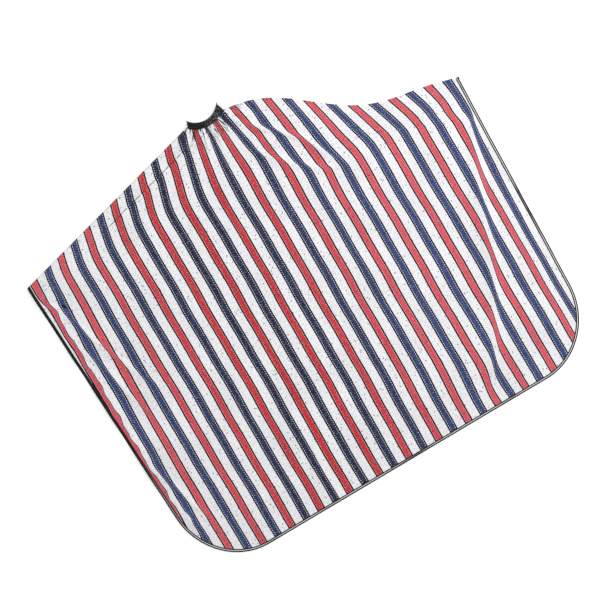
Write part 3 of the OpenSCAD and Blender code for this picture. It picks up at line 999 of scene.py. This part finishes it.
# amount is how much fleck shows: one share, or the shares at the left and right end
def wovenMaterial(name, group, colour, fleck, amount, specular, sheen, stitch=None, shine=None):
    mat, tree, shader, w = materialBase(name)
    node = groupNode(tree, group)
    flat = flatPlace(tree)
    along, across = w.split(flat)
    tree.links.new(flat, node.inputs["Flat"])
    w.put(node.inputs["Colour"], colour)
    w.put(node.inputs["Fleck"], fleck)
    w.put(node.inputs["Amount"], w.step(along, -0.02, 0.02, *amount) if isinstance(amount, tuple) else amount)
    out = node.outputs["Colour"]
    if shine:  # painted highlight where light catches the ridge of the tape along the hem and up its right side
        middle = w.size(w.less(across, shine["at"] * mm))
        paintedShine = w.step(middle, 0.4 * shine["half"] * mm, shine["half"] * mm, 1.0, 0.0)
        # the painted highlight fades out in stretches along the tape
        shineGaps = w.noise(w.scaled(flat, (4.0, 0.0, 0.0)), 1.0, 3.0, 0.6)
        paintedShine = w.times(paintedShine, w.step(along, 0.55, 0.95, shine["low"], 1.0))
        paintedShine = w.times(paintedShine, w.step(shineGaps, 0.36, 0.50, 0.15, 1.0))
        out = w.mix(w.times(paintedShine, shine["share"]), out, shine["colour"])
    if stitch:
        run = w.math("FRACT", w.math("DIVIDE", along, stitch["pitch"] * mm))
        dash = w.times(w.step(run, 0.06, 0.16), w.step(run, 0.66, 0.78, 1.0, 0.0))
        near = w.size(w.less(across, stitch["at"] * mm))
        line = w.times(dash, w.step(near, 0.00018, 0.00034, 1.0, 0.0), 0.85)
        out = w.mix(line, out, stitch["colour"])
    tree.links.new(out, shader.inputs["Base Color"])
    tree.links.new(node.outputs["Rough"], shader.inputs["Roughness"])
    setSheen(shader, specular, sheen, 0.35)
    bumpInto(tree, shader, node.outputs["Relief"], 0.5, 0.0006)
    return mat


def metalMaterial():
    mat, tree, shader, w = materialBase("snapMetal")
    place = tree.nodes.new("ShaderNodeTexCoord")
    rub = w.noise(place.outputs["Object"], 900.0, 4.0, 0.6)
    colour = w.mix(w.step(rub, 0.35, 0.7), (0.52, 0.51, 0.50), (0.30, 0.29, 0.28))
    tree.links.new(colour, shader.inputs["Base Color"])
    tree.links.new(w.step(rub, 0.3, 0.7, 0.24, 0.46), shader.inputs["Roughness"])
    shader.inputs["Metallic"].default_value = 1.0
    bumpInto(tree, shader, rub, 0.2, 0.0001)
    return mat


print("materials")
weaveGroup = makeWeaveGroup()
stripedCloth = stripedMaterial(makeStripeGroup(), makePleatGroup())
tapeCloth = wovenMaterial("edgeTapeCloth", weaveGroup, tape["colour"], tape["fleck"], 0.30, 0.10,
                          tape["sheen"], tape["stitch"], tape["shine"])
bandCloth = wovenMaterial("neckBandCloth", weaveGroup, band["colour"], band["fleck"], band["fleckAmount"],
                          0.12, 0.02, band["stitch"])
liningCloth = wovenMaterial("bandLiningCloth", weaveGroup, band["lining"]["colour"], band["lining"]["fleck"],
                            0.25, 0.3, 0.2)
elasticWeb = wovenMaterial("bandElastic", weaveGroup, band["web"]["colour"], band["web"]["fleck"],
                           0.5, 0.25, 0.15)
snapMetal = metalMaterial()


def finishPiece(obj, material, node):
    obj.data.materials.clear()
    obj.data.materials.append(material)
    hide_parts(node)
    return obj


print("front cloth and tape")
frontCloth = finishPiece(buildFront(), stripedCloth, "front_panel")
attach(frontCloth, "front")
frontTape = finishPiece(buildFrontTape(), tapeCloth, "front_hem_binding")
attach(frontTape, "front")

print("back halves")
for key, half in halves.items():
    prepareHalf(half)
    body = half["body"]
    cloth, edge = buildHalfCloth(key + "BackCloth", half), buildHalfTape(key + "BackTape", half)
    finishPiece(cloth, stripedCloth, body + "_panel")
    finishPiece(edge, tapeCloth, body + "_binding")
    for piece in (cloth, edge):
        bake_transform(piece)

print("neckband")


# lowest and highest point of a CAD node
def nodeHeights(node):
    low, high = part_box(node)
    return low.z / mm, high.z / mm


# part, layer, first and last angle, inner and outer radius, puff and ribs of each strip
spike, inner, outer = band["spikeAngle"], band["inner"], band["outer"]
liningInner, liningOuter = band["liningInner"], band["liningOuter"]
bandStrips = [
    ("front", "outer", (-spike, spike), (inner, outer), band["puff"], band["puffRibs"]),
    ("front", "lining", (-51.0, 51.0), (inner, liningOuter), 0.0, 0.0),
    ("left", "outer", (-51.5, -0.6), (inner, outer), 0.0, 0.0),
    ("left", "lining", (-51.0, -0.6), (liningInner, liningOuter), 0.0, 0.0),
    ("right", "outer", (3.2, 51.5), (inner, outer), 0.0, 0.0),
    ("right", "lining", (3.2, 51.0), (liningInner, liningOuter), 0.0, 0.0),
    ("front", "elastic", (-44.0, 44.0), band["elastic"], 0.0, band["webRibs"]),
    ("left", "elastic", (-44.0, -1.5), band["elastic"], 0.0, band["webRibs"]),
    ("right", "elastic", (4.2, 44.0), band["elastic"], 0.0, band["webRibs"]),
]
bandLooks = {
    "outer": ("band_cloth", bandCloth),
    "lining": ("band_cloth", liningCloth),
    "elastic": ("band_elastic", elasticWeb),
}
bandBodies = {"front": "front", "left": "left_back", "right": "right_back"}
bandPieces = {"front": [], "left": [], "right": []}
for part, layer, span, radii, puff, ribs in bandStrips:
    node = part + "_band_" + layer
    slotName, material = bandLooks[layer]
    low, high = nodeHeights(node)
    piece = bandStrip(part + "Band" + layer.capitalize(), *bandShape(*span, *radii),
                      low + band["under"], high - band["over"], puff, ribs)
    finishPiece(piece, material, node)
    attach(piece, bandBodies[part])
    bandPieces[part].append(piece)

print("closure tab and snaps")
tab = {"rootAngle": 1.0, "roundFrom": -24.0, "roundLong": 7.6, "halfWide": 8.4, "skinGap": 0.02}
straight = np.linspace(tab["rootAngle"], tab["roundFrom"], 40)
rounded = tab["roundFrom"] - tab["roundLong"] * np.sin(np.linspace(0.08, 0.5 * math.pi, 16))
tabAngles = np.concatenate([straight, rounded])
bulge = np.clip((tab["roundFrom"] - tabAngles) / tab["roundLong"], 0.0, 0.985)
tabHalf = tab["halfWide"] * np.sqrt(1.0 - bulge * bulge)
for node, name, material in (("tab_outer", "closureTabOuter", bandCloth),
                             ("tab_lining", "closureTabLining", liningCloth)):
    low, high = nodeHeights(node)
    piece = bandStrip(name, tabAngles, band["middle"] - tabHalf, band["middle"] + tabHalf,
                      low + tab["skinGap"], high - tab["skinGap"])
    finishPiece(piece, material, node)
    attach(piece, "closure_tab")

for node in ("snap_caps", "snap_sockets", "snap_studs", "snap_rings"):
    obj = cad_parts[node]
    obj.data.materials.clear()
    obj.data.materials.append(snapMetal)

print("studio")
studio = {"floorSize": 30.0, "floorHeight": -0.0004, "paper": (0.93, 0.93, 0.93, 1.0), "air": 0.66}
bpy.ops.mesh.primitive_plane_add(size=studio["floorSize"], location=(0, 0, studio["floorHeight"]))
bpy.ops.object.transform_apply(location=True, rotation=False, scale=False)
floor = bpy.context.object
floor.name = "studioFloor"
paper, _, paperShader, _ = materialBase("studioPaper")
paperShader.inputs["Base Color"].default_value = studio["paper"]
paperShader.inputs["Roughness"].default_value = 0.9
paperShader.inputs["Specular IOR Level"].default_value = 0.1
floor.data.materials.append(paper)


def softLight(name, place, turn, size, power):
    bpy.ops.object.light_add(type="AREA", location=place, rotation=[math.radians(a) for a in turn])
    lamp = bpy.context.object
    lamp.name = name
    lamp.data.shape = "RECTANGLE"
    lamp.data.size, lamp.data.size_y = size
    lamp.data.energy = power


softLight("overheadSoft", (0.5, 0.5, 4.0), (7, 7, 0), (3.0, 3.0), 90)
softLight("sideSoft", (3.2, 0.9, 1.7), (0, 63, 15), (1.6, 1.2), 62)
world = bpy.data.worlds.new("studioAir")
world.use_nodes = True
background = world.node_tree.nodes["Background"]
background.inputs["Color"].default_value = (1.0, 1.0, 1.0, 1.0)
background.inputs["Strength"].default_value = studio["air"]
scene = bpy.context.scene
scene.world = world
scene.view_settings.view_transform = "Standard"

# straight above the cape, turned so that the neck is at the upper left
view = {"middle": (-32.5, -604.0), "wide": 1.758, "lens": 100.0, "sensor": 36.0, "turn": -30.7}
cameraData = bpy.data.cameras.new("topCamera")
cameraData.lens = view["lens"]
cameraData.sensor_width = view["sensor"]
cameraData.clip_end = 60.0
camera = bpy.data.objects.new("topCamera", cameraData)
scene.collection.objects.link(camera)
camera.location = (view["middle"][0] * mm, (view["middle"][1] + neckY) * mm,
                   view["wide"] * view["lens"] / view["sensor"])
camera.rotation_euler = (0.0, 0.0, math.radians(view["turn"]))
scene.camera = camera
